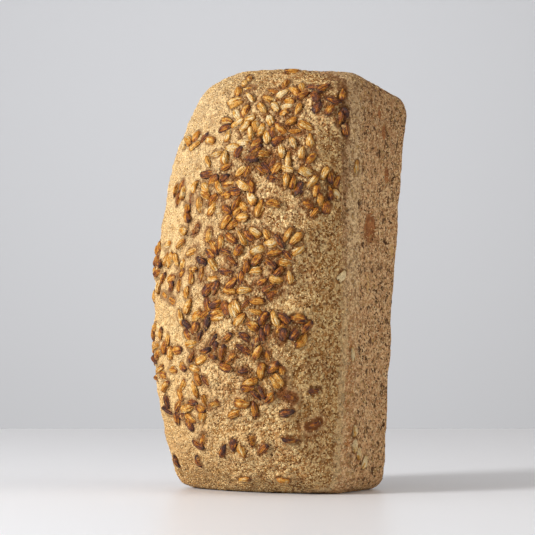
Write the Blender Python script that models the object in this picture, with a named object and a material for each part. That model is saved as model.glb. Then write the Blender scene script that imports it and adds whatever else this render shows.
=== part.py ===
"""A tin loaf of sprouted grain sourdough, scattered with sunflower kernels and stood on one end.

Metres, +Z up. The loaf's length runs up. Its domed top crust faces -Y, the side that lay on the tin's bottom
faces +Y, and it leans back by the slope of the tin's end wall. The origin is the middle of the loaf's box, on the
surface that it stands on.
"""
import math
import random

import bmesh
import bpy
import numpy as np
from mathutils import Matrix, Vector

# The tin's shape: a long tin whose four walls flare outwards from its bottom to its rim.
BASE_LENGTH = 0.2124
BASE_WIDTH = 0.1025
RIM_WIDTH = 0.1095
RIM_HEIGHT = 0.095
END_SLOPE = math.radians(5.1)
END_WALL_HEIGHT = 0.067
HEAD_SWELL = 0.0030      # how far the head end's edges lie below its middle

# The dough's rise over the tin: a crown along the loaf, and a shoulder on each side where the crust left the wall.
CROWN_HEIGHT = 0.1015
CROWN_DROP = (0.028, 0.027)      # at the foot end and at the head end
CROWN_POWER = 2.75
ARCH_POWERS = (1.75, 1.7)
RIGHT_SHOULDER = (0.052, 0.0715)      # at the foot end and at the head end
LEFT_SHOULDER = 0.058
LEFT_DROP = (0.009, 0.032)
RIGHT_OVERHANG = 0.0022
LEFT_OVERHANG = 0.0095
LIP_OFFSET = 0.0019
LIP_DEPTH = 0.0028

# Rounded edges, the bottom's slight hollow and the unevenness of the crust.
CORNER_RADIUS = 0.0095
BOTTOM_RADIUS = 0.0048
TOP_RADII = (0.0240, 0.0205)      # at the foot end and at the head end
BOTTOM_HOLLOW = 0.0034
DOME_LUMP = 0.0005
WALL_LUMP = 0.00025
LUMP_LENGTHS = (0.061, 0.043, 0.031)
LUMP_SLANT = 0.6
FLAT_FOOT = 0.018      # lumps fade out below this height, so the foot stays flat
SCAR_PLACE = (0.0385, 0.1355)      # up from the tin's bottom and along the loaf, on the +X wall
SCAR_SIZE = (0.0070, 0.0105)
SCAR_DEPTH = 0.0016

# How the loaf stands: it leans sideways a little, and the shift brings its box's middle over the origin.
SIDE_LEAN = math.radians(1.3)
MIDDLE_LINE_Y = -0.042
STANDING_SHIFT = (0.0, 0.0387, 0.0)

# The crust's mesh is a subdivided box, blown out from a smaller core box onto the loaf's form.
GRID_CUTS = (11, 11, 19)
GRID_HALF = (0.058, 0.050, 0.1165)
CORE_HALF = (0.030, 0.020, 0.080)
CORE_HEIGHT = 0.104
REACH = 0.090
HALVINGS = 26
SLOPE_STEP = 0.0008

# Hulled sunflower kernels, shortest and longest of each size.
KERNEL_LENGTH = (0.0082, 0.0104)
KERNEL_WIDTH = (0.0043, 0.0055)
KERNEL_THICKNESS = (0.0029, 0.0036)
KERNEL_TAPER = 0.34
KERNEL_RISE = 0.20      # the middle's height over the crust, in thicknesses
KERNEL_GAP = 0.56      # the least distance between two kernels' middle lines, in widths
KERNEL_TRIES = 14
DRIFT_TIGHTNESS = 0.90      # the share of a drift's spread that its kernels keep to
LINE_POINTS = 5      # points along a kernel's middle line, for its distance to others
KERNEL_SEED = 47
FUSED_KERNELS = 190
LOWEST_KERNEL = 0.0075

# Drifts of kernels: the way round from the crown in degrees, the height, half the long spread, half the short
# spread, the slant of the long spread in degrees, and how many kernels lie there.
DRIFTS = {
    "head arc on the left": (-5, 0.205, 0.012, 0.006, -71, 7),
    "head middle": (27, 0.202, 0.014, 0.010, 35, 10),
    "head string": (49, 0.204, 0.010, 0.008, 0, 6),
    "string down the shoulder": (61, 0.192, 0.009, 0.003, -75, 4),
    "upper middle": (4, 0.187, 0.013, 0.007, -30, 8),
    "upper right": (30, 0.187, 0.015, 0.008, -15, 10),
    "upper far left": (-30, 0.182, 0.012, 0.005, 15, 4),
    "below the upper middle": (11, 0.173, 0.013, 0.009, 0, 9),
    "below the upper right": (35, 0.167, 0.014, 0.009, 90, 12),
    "left of the middle": (-8, 0.168, 0.010, 0.006, 60, 5),
    "right tail": (49, 0.155, 0.014, 0.008, 84, 8),
    "left edge": (-30, 0.153, 0.018, 0.004, -69, 4),
    "fan": (-2, 0.154, 0.016, 0.010, 0, 13),
    "right of the fan": (18, 0.147, 0.009, 0.007, 30, 5),
    "band on the left": (-21, 0.127, 0.030, 0.010, 10, 13),
    "band in the middle": (13, 0.130, 0.015, 0.009, -30, 10),
    "band on the right": (32, 0.126, 0.010, 0.007, 80, 6),
    "under the band, left": (-32, 0.108, 0.015, 0.010, -20, 7),
    "under the band, middle": (4, 0.112, 0.017, 0.009, -10, 11),
    "under the band, right": (27, 0.107, 0.017, 0.006, 61, 6),
    "belly on the left": (-10, 0.094, 0.014, 0.008, 13, 7),
    "belly in the middle": (19, 0.090, 0.018, 0.008, -20, 10),
    "belly on the right": (40, 0.086, 0.009, 0.006, -60, 4),
    "under the belly": (15, 0.073, 0.015, 0.010, -18, 10),
    "down the middle": (25, 0.054, 0.021, 0.007, 63, 8),
    "left side": (-38, 0.065, 0.021, 0.014, -73, 12),
    "beside the left side": (-11, 0.069, 0.020, 0.008, -79, 8),
    "low on the left": (-20, 0.043, 0.018, 0.008, 9, 8),
    "round the left shoulder": (-60, 0.098, 0.034, 0.012, 80, 11),
    "foot row": (5, 0.026, 0.024, 0.005, 0, 5),
}
# Single kernels: the way round in degrees, the height, and how far the kernel is turned from level, in degrees.
LONE_KERNELS = {
    "on the head's edge": (33, 0.2185, 12),
    "low right, upper": (41, 0.051, -20),
    "low right, shoulder": (55, 0.054, 10),
    "low right, middle": (41, 0.043, 15),
    "low right, sunk": (57, 0.037, 25),
    "low right, lower": (45, 0.029, -5),
    "foot, far left": (-54, 0.016, 75),
    "foot, left": (-27, 0.017, 80),
    "foot, middle": (10, 0.0085, 15),
    "foot, right": (47, 0.0085, -10),
    "side wall, upper": (88, 0.033, 80),
    "side wall, lower": (95, 0.021, 75),
    "side wall, foot": (102, 0.016, 60),
}

CRUST_COLOUR = (0.515, 0.305, 0.141, 1.0)
CRUST_ROUGHNESS = 0.8


def rounded_corner(a, b, radius):
    """Where two half-spaces overlap, with the edge between them rounded."""
    over_a = np.maximum(a + radius, 0.0)
    over_b = np.maximum(b + radius, 0.0)
    return np.minimum(-radius, np.maximum(a, b)) + np.hypot(over_a, over_b)


def falling(run, middle, drops, power):
    """A height that falls from the loaf's middle to both its ends. run is -1 at the foot end and 1 at the head."""
    foot = np.clip(-run, 0.0, 1.0) ** power
    head = np.clip(run, 0.0, 1.0) ** power
    return middle - drops[0] * foot - drops[1] * head


def loaf_axes(points):
    """Place across the loaf, height over the tin's bottom and place along the loaf, of standing points."""
    x, y, z = points[:, 0], points[:, 1], points[:, 2]
    lean_cos, lean_sin = math.cos(SIDE_LEAN), math.sin(SIDE_LEAN)
    across = x * lean_cos - z * lean_sin
    upright = z * lean_cos + x * lean_sin
    slope_cos, slope_sin = math.cos(END_SLOPE), math.sin(END_SLOPE)
    height = -(y * slope_cos - upright * slope_sin)
    along = upright * slope_cos + y * slope_sin
    return across, height, along


def lumps(across, height, along, size):
    """Low swellings of the crust: slanting waves of three lengths, crossed."""
    swelling = np.zeros(len(along))
    for number, length in enumerate(LUMP_LENGTHS):
        pace = 2.0 * math.pi / length
        aside = LUMP_SLANT * number * across
        run_wave = np.sin(pace * (along - aside) + number)
        cross_wave = np.cos(pace * (height + across + aside) - number)
        swelling = swelling + size * run_wave * cross_wave
    return swelling


def scar(across, height, along):
    """The dent on the +X wall where the crust tore off."""
    up = (height - SCAR_PLACE[0]) / SCAR_SIZE[0]
    run = (along - SCAR_PLACE[1]) / SCAR_SIZE[1]
    near = np.clip(1.0 - up * up - run * run, 0.0, 1.0)
    return np.where(across > 0.0, SCAR_DEPTH * near, 0.0)


def field(points):
    """Under zero inside the loaf, over zero outside, and close to the distance from the crust."""
    across, height, along = loaf_axes(points)
    run = np.clip(2.0 * along / BASE_LENGTH - 1.0, -1.15, 1.15)
    middle = np.clip(1.0 - run * run, 0.0, 1.0)
    right = RIGHT_SHOULDER[0] + (RIGHT_SHOULDER[1] - RIGHT_SHOULDER[0]) * (run + 1.0) / 2.0
    left = falling(run, LEFT_SHOULDER, LEFT_DROP, CROWN_POWER)
    shoulder = left + (right - left) * np.clip(across / RIM_WIDTH + 0.5, 0.0, 1.0)
    crown = falling(run, CROWN_HEIGHT, CROWN_DROP, CROWN_POWER)
    overhang = np.where(across < 0.0, LEFT_OVERHANG, RIGHT_OVERHANG) * middle
    reach = np.clip(np.abs(across) / (RIM_WIDTH / 2.0 + overhang), 0.0, 1.0)
    arch = np.clip(1.0 - reach ** ARCH_POWERS[0], 0.0, 1.0) ** (1.0 / ARCH_POWERS[1])
    top = shoulder + (crown - shoulder) * arch

    flare = (RIM_WIDTH - BASE_WIDTH) / 2.0 * np.clip(height / RIM_HEIGHT, 0.0, 1.0)
    over_wall = 1.0 / (1.0 + np.exp((shoulder + LIP_OFFSET - height) / LIP_DEPTH))
    side = np.abs(across) - (BASE_WIDTH / 2.0 + flare + overhang * over_wall)
    end_wall = np.minimum(height, END_WALL_HEIGHT) * math.tan(END_SLOPE)
    swell = HEAD_SWELL * (across / (RIM_WIDTH / 2.0)) ** 2
    head = along - BASE_LENGTH - end_wall + swell
    walls = rounded_corner(side, np.maximum(head, -points[:, 2]), CORNER_RADIUS)
    tin = rounded_corner(walls, BOTTOM_HOLLOW * middle - height, BOTTOM_RADIUS)
    top_radius = TOP_RADII[0] + (TOP_RADII[1] - TOP_RADII[0]) * np.clip(run / 2.0 + 0.5, 0.0, 1.0)
    loaf = rounded_corner(tin, height - top, top_radius)

    lump_size = WALL_LUMP + (DOME_LUMP - WALL_LUMP) * over_wall
    lump_size = lump_size * np.clip(points[:, 2] / FLAT_FOOT, 0.0, 1.0)
    return loaf - lumps(across, height, along, lump_size) + scar(across, height, along)


def middle_line(heights):
    """Points of the leaning loaf's middle line."""
    x = heights * math.tan(SIDE_LEAN)
    y = MIDDLE_LINE_Y + heights * math.tan(END_SLOPE)
    return np.stack([x, y, heights], axis=1)


def to_crust(starts, directions):
    """From points inside the loaf, the points where the directions leave it, by halving."""
    near = np.zeros(len(starts))
    far = np.full(len(starts), REACH)
    for _ in range(HALVINGS):
        half = (near + far) / 2.0
        inside = field(starts + directions * half[:, None]) < 0.0
        near = np.where(inside, half, near)
        far = np.where(inside, far, half)
    return starts + directions * far[:, None]


def crust_points(angles, heights):
    """Points of the crust at angles round from the crown, in radians, and at heights."""
    directions = np.stack([np.sin(angles), -np.cos(angles), np.zeros(len(angles))], axis=1)
    return to_crust(middle_line(heights), directions)


def outward(points):
    """The crust's outward directions at points."""
    slopes = [field(points + offset) - field(points - offset) for offset in np.eye(3) * SLOPE_STEP]
    normals = np.stack(slopes, axis=1)
    return normals / np.linalg.norm(normals, axis=1)[:, None]


def kernel_lines(points, normals, turns, length, width):
    """Directions of kernels lying on the crust, and points along each one's middle line."""
    level = np.cross([0.0, 0.0, 1.0], normals)
    level = level / np.linalg.norm(level, axis=1)[:, None]
    rising = np.cross(normals, level)
    along = level * np.cos(turns)[:, None] + rising * np.sin(turns)[:, None]
    steps = np.linspace(-0.5, 0.5, LINE_POINTS) * (length - width)
    lines = points[:, None, :] + along[:, None, :] * steps[None, :, None]
    return along, lines


def clearance(lines, placed):
    """Least distance from each candidate's middle line to the kernels placed before it."""
    if not placed:
        return np.full(len(lines), REACH)
    others = np.concatenate([kernel["line"] for kernel in placed])
    apart = np.linalg.norm(lines[:, :, None, :] - others[None, None, :, :], axis=3)
    return apart.min(axis=(1, 2))


def drop_kernel(draw, placed, angles, heights, turns):
    """Adds the first candidate that lies clear of the kernels there already, or none of them."""
    length = draw.uniform(*KERNEL_LENGTH)
    width = draw.uniform(*KERNEL_WIDTH)
    thickness = draw.uniform(*KERNEL_THICKNESS)
    points = crust_points(angles, np.maximum(heights, LOWEST_KERNEL))
    normals = outward(points)
    along, lines = kernel_lines(points, normals, turns, length, width)
    free = clearance(lines, placed)
    clear = np.flatnonzero(free > KERNEL_GAP * width)
    if len(clear) == 0:
        return
    pick = clear[0]
    placed.append({
        "point": points[pick],
        "normal": normals[pick],
        "along": along[pick],
        "line": lines[pick],
        "size": (length, width, thickness),
    })


def scatter_kernels():
    """All the kernels of the crust: the single ones first, then drift after drift."""
    draw = random.Random(KERNEL_SEED)
    placed = []
    for angle, height, turn in LONE_KERNELS.values():
        drop_kernel(draw, placed, np.radians([angle]), np.array([height]), np.radians([turn]))
    for angle, height, long_half, short_half, slant, count in DRIFTS.values():
        tilt = math.radians(slant)
        for _ in range(count):
            candidates = []
            for _ in range(KERNEL_TRIES):
                spread = DRIFT_TIGHTNESS * math.sqrt(draw.random())
                bearing = draw.uniform(0.0, 2.0 * math.pi)
                u = long_half * spread * math.cos(bearing)
                v = short_half * spread * math.sin(bearing)
                round_way = u * math.cos(tilt) - v * math.sin(tilt)
                up = u * math.sin(tilt) + v * math.cos(tilt)
                candidates.append((round_way, up, draw.uniform(0.0, math.pi)))
            offsets = np.array(candidates)
            angles = math.radians(angle) + offsets[:, 0] / abs(MIDDLE_LINE_Y)
            drop_kernel(draw, placed, angles, height + offsets[:, 1], offsets[:, 2])
    return placed


def crust_material():
    """Baked crust: matt tan."""
    material = bpy.data.materials.new("baked crust")
    material.use_nodes = True
    shader = material.node_tree.nodes["Principled BSDF"]
    shader.inputs["Base Color"].default_value = CRUST_COLOUR
    shader.inputs["Roughness"].default_value = CRUST_ROUGHNESS
    shader.inputs["Metallic"].default_value = 0.0
    return material


def add_object(name, shape, collection):
    """A new object from a bmesh, in a collection."""
    mesh = bpy.data.meshes.new(name)
    shape.to_mesh(mesh)
    shape.free()
    thing = bpy.data.objects.new(name, mesh)
    collection.objects.link(thing)
    return thing


def grid_box(cuts):
    """A box from -1 to 1, each of its three directions cut into its own number of strips."""
    shape = bmesh.new()
    bmesh.ops.create_cube(shape, size=2.0)
    for axis, cut_count in enumerate(cuts):
        along_axis = [edge for edge in shape.edges if abs(edge.verts[0].co[axis] - edge.verts[1].co[axis]) > 1.0]
        bmesh.ops.subdivide_edges(shape, edges=along_axis, cuts=cut_count, use_grid_fill=True)
    return shape


def make_loaf(collection):
    """The bare loaf: every point of the grid box goes out from the core box to the crust."""
    shape = grid_box(GRID_CUTS)
    box = np.array([vertex.co for vertex in shape.verts]) * np.array(GRID_HALF)
    core_half = np.array(CORE_HALF)
    core = np.clip(box, -core_half, core_half)
    directions = box - core
    directions = directions / np.linalg.norm(directions, axis=1)[:, None]
    starts = middle_line(CORE_HEIGHT + core[:, 2])
    starts[:, :2] += core[:, :2]
    for vertex, place in zip(shape.verts, to_crust(starts, directions)):
        vertex.co = Vector(place)
        vertex.co.z = max(vertex.co.z, 0.0)
    bmesh.ops.recalc_face_normals(shape, faces=shape.faces)
    return add_object("loaf", shape, collection)


def make_kernel(number, kernel, collection):
    """One kernel as a few-sided drop, laid on the crust and sunk into it by a third."""
    length, width, thickness = kernel["size"]
    shape = bmesh.new()
    bmesh.ops.create_uvsphere(shape, u_segments=6, v_segments=3, radius=0.5)
    for vertex in shape.verts:
        slim = 1.0 - KERNEL_TAPER * vertex.co.z
        vertex.co = Vector((vertex.co.x * width * slim, vertex.co.y * thickness * slim, vertex.co.z * length))
    normal = Vector(kernel["normal"])
    along = Vector(kernel["along"])
    turn = Matrix((normal.cross(along), normal, along)).transposed().to_4x4()
    middle = Vector(kernel["point"]) + normal * (KERNEL_RISE * thickness)
    bmesh.ops.transform(shape, matrix=Matrix.Translation(middle) @ turn, verts=shape.verts)
    return add_object(f"kernel {number}", shape, collection)


def fuse(loaf, toppings):
    """Joins the toppings to the loaf by one union, and removes them."""
    union = loaf.modifiers.new("fused kernels", "BOOLEAN")
    union.operation = "UNION"
    union.operand_type = "COLLECTION"
    union.collection = toppings
    union.solver = "EXACT"
    graph = bpy.context.evaluated_depsgraph_get()
    bare = loaf.data
    fused = bpy.data.meshes.new_from_object(loaf.evaluated_get(graph))
    loaf.modifiers.remove(union)
    loaf.data = fused
    bpy.data.meshes.remove(bare)
    for kernel in list(toppings.objects):
        bpy.data.objects.remove(kernel)
    bpy.data.collections.remove(toppings)


def pieces_of(shape):
    """The vertices of a bmesh, grouped by what hangs together."""
    waiting = set(shape.verts)
    pieces = []
    while waiting:
        piece = []
        frontier = [waiting.pop()]
        while frontier:
            vertex = frontier.pop()
            piece.append(vertex)
            for edge in vertex.link_edges:
                other = edge.other_vert(vertex)
                if other in waiting:
                    waiting.remove(other)
                    frontier.append(other)
        pieces.append(piece)
    return pieces


def clean(loaf):
    """Keeps the largest piece only, so that no scrap or sealed hollow stays, and stands it over the origin."""
    shape = bmesh.new()
    shape.from_mesh(loaf.data)
    pieces = sorted(pieces_of(shape), key=len)
    scraps = [vertex for piece in pieces[:-1] for vertex in piece]
    bmesh.ops.delete(shape, geom=scraps, context="VERTS")
    bmesh.ops.translate(shape, vec=Vector(STANDING_SHIFT), verts=shape.verts)
    bmesh.ops.triangulate(shape, faces=shape.faces)
    shape.to_mesh(loaf.data)
    shape.free()


def main():
    for thing in list(bpy.data.objects):
        bpy.data.objects.remove(thing)
    bread = bpy.data.collections.new("sprouted grain bread")
    bpy.context.scene.collection.children.link(bread)
    toppings = bpy.data.collections.new("sunflower kernels")
    bpy.context.scene.collection.children.link(toppings)

    loaf = make_loaf(bread)
    loaf.data.materials.append(crust_material())
    kernels = sorted(scatter_kernels(), key=lambda kernel: -kernel["size"][0])
    for number, kernel in enumerate(kernels[:FUSED_KERNELS]):
        make_kernel(number, kernel, toppings)
    fuse(loaf, toppings)
    clean(loaf)
    loaf.data.shade_smooth()
    loaf.data.set_sharp_from_angle(angle=math.radians(50.0))
    corners = [loaf.matrix_world @ vertex.co for vertex in loaf.data.vertices]
    low = [min(corner[axis] for corner in corners) for axis in range(3)]
    high = [max(corner[axis] for corner in corners) for axis in range(3)]
    print("kernels on the crust:", len(kernels), "fused:", min(FUSED_KERNELS, len(kernels)))
    print("triangles:", len(loaf.data.polygons), "low corner:", low, "high corner:", high)


main()
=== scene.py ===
# %% [markdown]
# # A sprouted grain loaf with a crust of sunflower kernels
# The object is one loaf of bread, baked in a long tin and stood on its end. Three things make it look real:
# a crust that is smooth where the tin held it and rough where the dough rose free, drifts of toasted
# kernels of which no two are alike, and thousands of grains of bran. Each gets its own step below.
#
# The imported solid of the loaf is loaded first. It fixes the size and the place of all that follows, so
# nothing here is fitted by eye: the same named sizes that shaped the solid shape the fine crust.

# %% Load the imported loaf
import math
import random

import bmesh
import bpy
import numpy as np
from mathutils import Matrix, Vector, noise


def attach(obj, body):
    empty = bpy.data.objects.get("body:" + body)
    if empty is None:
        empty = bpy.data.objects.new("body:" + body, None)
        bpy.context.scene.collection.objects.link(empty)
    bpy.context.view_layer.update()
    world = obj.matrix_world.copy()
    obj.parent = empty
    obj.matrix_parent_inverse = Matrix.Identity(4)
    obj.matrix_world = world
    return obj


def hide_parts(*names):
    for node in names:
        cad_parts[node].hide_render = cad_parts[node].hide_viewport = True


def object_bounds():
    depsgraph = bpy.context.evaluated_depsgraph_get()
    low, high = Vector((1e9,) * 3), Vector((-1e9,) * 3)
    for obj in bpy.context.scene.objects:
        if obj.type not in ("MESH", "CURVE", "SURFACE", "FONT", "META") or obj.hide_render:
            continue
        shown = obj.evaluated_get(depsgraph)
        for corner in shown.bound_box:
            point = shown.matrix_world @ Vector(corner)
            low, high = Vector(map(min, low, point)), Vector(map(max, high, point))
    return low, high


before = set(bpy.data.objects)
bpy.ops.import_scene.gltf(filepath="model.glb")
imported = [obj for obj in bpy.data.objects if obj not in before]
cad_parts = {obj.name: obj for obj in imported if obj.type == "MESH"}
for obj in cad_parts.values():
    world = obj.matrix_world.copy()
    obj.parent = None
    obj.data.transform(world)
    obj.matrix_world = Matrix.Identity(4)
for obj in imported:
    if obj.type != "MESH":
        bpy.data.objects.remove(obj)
cad_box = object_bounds()
print("packed nodes:", sorted(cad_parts))

# %% [markdown]
# ## The loaf's form
# A loaf could be sculpted, or lofted through sections. Here it is a rule: a function that is under zero
# inside the bread and over zero outside. A tin with sloping walls gives the flat sides, the dough's rise
# gives the dome and its overhang, and rounded corners join them. Any point of the crust can then be found
# by walking outwards until the rule changes sign, so a coarse mesh, a fine mesh and the kernels all lie on
# the very same surface.

# %% Sizes of the tin and of the dough's rise
BASE_LENGTH = 0.2124
BASE_WIDTH = 0.1025
RIM_WIDTH = 0.1095
RIM_HEIGHT = 0.095
END_SLOPE = math.radians(5.1)
END_WALL_HEIGHT = 0.067
HEAD_SWELL = 0.0030  # how far the head end's edges lie below its middle

CROWN_HEIGHT = 0.1015
CROWN_DROP = (0.028, 0.027)  # at the foot end and at the head end
CROWN_POWER = 2.75
ARCH_POWERS = (1.75, 1.7)
RIGHT_SHOULDER = (0.052, 0.0715)  # at the foot end and at the head end
LEFT_SHOULDER = 0.058
LEFT_DROP = (0.009, 0.032)
RIGHT_OVERHANG = 0.0022
LEFT_OVERHANG = 0.0095
LIP_OFFSET = 0.0019
LIP_DEPTH = 0.0028

CORNER_RADIUS = 0.0095
BOTTOM_RADIUS = 0.0048
TOP_RADII = (0.0240, 0.0205)  # at the foot end and at the head end
BOTTOM_HOLLOW = 0.0034
DOME_LUMP = 0.0005
WALL_LUMP = 0.00025
LUMP_LENGTHS = (0.061, 0.043, 0.031)
LUMP_SLANT = 0.6
FLAT_FOOT = 0.018  # lumps fade out below this height, so the foot stays flat
SCAR_PLACE = (0.0385, 0.1355)  # up from the tin's bottom and along the loaf, on the +X wall
SCAR_SIZE = (0.0070, 0.0105)
SCAR_DEPTH = 0.0016

SIDE_LEAN = math.radians(1.3)
MIDDLE_LINE_Y = -0.042
STANDING_SHIFT = (0.0, 0.0387, 0.0)
RUN_REACH = 1.15  # how far past the loaf's ends its heights are still worked out, in half lengths
REACH = 0.090
HALVINGS = 26
SLOPE_STEP = 0.0008


# %% The rule that says what is bread
def rounded_corner(a, b, radius):
    """Where two half-spaces overlap, with the edge between them rounded."""
    over_a = np.maximum(a + radius, 0.0)
    over_b = np.maximum(b + radius, 0.0)
    return np.minimum(-radius, np.maximum(a, b)) + np.hypot(over_a, over_b)


def falling(run, middle, drops, power):
    """A height that falls from the middle to both ends. run is -1 at the foot end and 1 at the head."""
    foot = np.clip(-run, 0.0, 1.0) ** power
    head = np.clip(run, 0.0, 1.0) ** power
    return middle - drops[0] * foot - drops[1] * head


def loaf_axes(points):
    """Place across the loaf, height over the tin's bottom and place along the loaf, of standing points."""
    x, y, z = points[:, 0], points[:, 1], points[:, 2]
    lean_cos, lean_sin = math.cos(SIDE_LEAN), math.sin(SIDE_LEAN)
    across = x * lean_cos - z * lean_sin
    upright = z * lean_cos + x * lean_sin
    slope_cos, slope_sin = math.cos(END_SLOPE), math.sin(END_SLOPE)
    height = -(y * slope_cos - upright * slope_sin)
    along = upright * slope_cos + y * slope_sin
    return across, height, along


def run_of(along):
    """Where along the loaf a point lies, from -1 at the foot end to 1 at the head."""
    return np.clip(2.0 * along / BASE_LENGTH - 1.0, -RUN_REACH, RUN_REACH)


def lumps(across, height, along, size):
    """Low swellings of the crust: slanting waves of three lengths, crossed."""
    swelling = np.zeros(len(along))
    for number, length in enumerate(LUMP_LENGTHS):
        pace = 2.0 * math.pi / length
        aside = LUMP_SLANT * number * across
        run_wave = np.sin(pace * (along - aside) + number)
        cross_wave = np.cos(pace * (height + across + aside) - number)
        swelling = swelling + size * run_wave * cross_wave
    return swelling


def scar(across, height, along):
    """How deep a point lies in the patch of the +X wall where the crust tore off, from 0 to 1."""
    up = (height - SCAR_PLACE[0]) / SCAR_SIZE[0]
    run = (along - SCAR_PLACE[1]) / SCAR_SIZE[1]
    near = np.clip(1.0 - up * up - run * run, 0.0, 1.0)
    return np.where(across > 0.0, near, 0.0)


def shoulder_height(across, run):
    """Where the dough left the tin's wall, as a height over the tin's bottom."""
    right = RIGHT_SHOULDER[0] + (RIGHT_SHOULDER[1] - RIGHT_SHOULDER[0]) * (run + 1.0) / 2.0
    left = falling(run, LEFT_SHOULDER, LEFT_DROP, CROWN_POWER)
    return left + (right - left) * np.clip(across / RIM_WIDTH + 0.5, 0.0, 1.0)


def field(points):
    """Under zero inside the loaf, over zero outside, and close to the distance from the crust."""
    across, height, along = loaf_axes(points)
    run = run_of(along)
    middle = np.clip(1.0 - run * run, 0.0, 1.0)
    shoulder = shoulder_height(across, run)
    crown = falling(run, CROWN_HEIGHT, CROWN_DROP, CROWN_POWER)
    overhang = np.where(across < 0.0, LEFT_OVERHANG, RIGHT_OVERHANG) * middle
    reach = np.clip(np.abs(across) / (RIM_WIDTH / 2.0 + overhang), 0.0, 1.0)
    arch = np.clip(1.0 - reach ** ARCH_POWERS[0], 0.0, 1.0) ** (1.0 / ARCH_POWERS[1])
    top = shoulder + (crown - shoulder) * arch

    flare = (RIM_WIDTH - BASE_WIDTH) / 2.0 * np.clip(height / RIM_HEIGHT, 0.0, 1.0)
    over_wall = 1.0 / (1.0 + np.exp((shoulder + LIP_OFFSET - height) / LIP_DEPTH))
    side = np.abs(across) - (BASE_WIDTH / 2.0 + flare + overhang * over_wall)
    end_wall = np.minimum(height, END_WALL_HEIGHT) * math.tan(END_SLOPE)
    swell = HEAD_SWELL * (across / (RIM_WIDTH / 2.0)) ** 2
    head = along - BASE_LENGTH - end_wall + swell
    walls = rounded_corner(side, np.maximum(head, -points[:, 2]), CORNER_RADIUS)
    tin = rounded_corner(walls, BOTTOM_HOLLOW * middle - height, BOTTOM_RADIUS)
    top_radius = TOP_RADII[0] + (TOP_RADII[1] - TOP_RADII[0]) * np.clip(run / 2.0 + 0.5, 0.0, 1.0)
    loaf = rounded_corner(tin, height - top, top_radius)

    lump_size = WALL_LUMP + (DOME_LUMP - WALL_LUMP) * over_wall
    lump_size = lump_size * np.clip(points[:, 2] / FLAT_FOOT, 0.0, 1.0)
    return loaf - lumps(across, height, along, lump_size) + SCAR_DEPTH * scar(across, height, along)


# %% Walk from the inside to the crust
def middle_line(heights):
    """Points of the leaning loaf's middle line."""
    x = heights * math.tan(SIDE_LEAN)
    y = MIDDLE_LINE_Y + heights * math.tan(END_SLOPE)
    return np.stack([x, y, heights], axis=1)


def to_crust(starts, directions):
    """From points inside the loaf, the points where the directions leave it, by halving."""
    near = np.zeros(len(starts))
    far = np.full(len(starts), REACH)
    for _ in range(HALVINGS):
        half = (near + far) / 2.0
        inside = field(starts + directions * half[:, None]) < 0.0
        near = np.where(inside, half, near)
        far = np.where(inside, far, half)
    return starts + directions * far[:, None]


def crust_points(angles, heights):
    """Points of the crust at angles round from the crown, in radians, and at heights."""
    directions = np.stack([np.sin(angles), -np.cos(angles), np.zeros(len(angles))], axis=1)
    return to_crust(middle_line(heights), directions)


def outward(points):
    """The crust's outward directions at points."""
    slopes = [field(points + offset) - field(points - offset) for offset in np.eye(3) * SLOPE_STEP]
    normals = np.stack(slopes, axis=1)
    return normals / np.linalg.norm(normals, axis=1)[:, None]


crown_middle = crust_points(np.array([0.0]), np.array([BASE_LENGTH / 2.0]))[0]
print("the crown's middle lies", round(-1000.0 * crown_middle[1]), "mm in front of the tin's bottom corner")

# %% [markdown]
# ## Where the kernels lie
# A baker rolls the dough in kernels, so they come in drifts with bare crust between. An even random scatter
# would look like wallpaper. Instead each drift is a slanted oval with a count, and each kernel tries some
# places in its oval until it finds one clear of its neighbours. The draws are seeded, so the loaf is the
# same loaf every time.

# %% Kernel sizes and drifts
KERNEL_LENGTH = (0.0082, 0.0104)
KERNEL_WIDTH = (0.0043, 0.0055)
KERNEL_THICKNESS = (0.0029, 0.0036)
KERNEL_GAP = 0.56  # the least distance between two kernels' middle lines, in widths
KERNEL_TRIES = 14
DRIFT_TIGHTNESS = 0.90  # the share of a drift's spread that its kernels keep to
LINE_POINTS = 5  # points along a kernel's middle line, for its distance to others
KERNEL_SEED = 47
LOWEST_KERNEL = 0.0075

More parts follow.
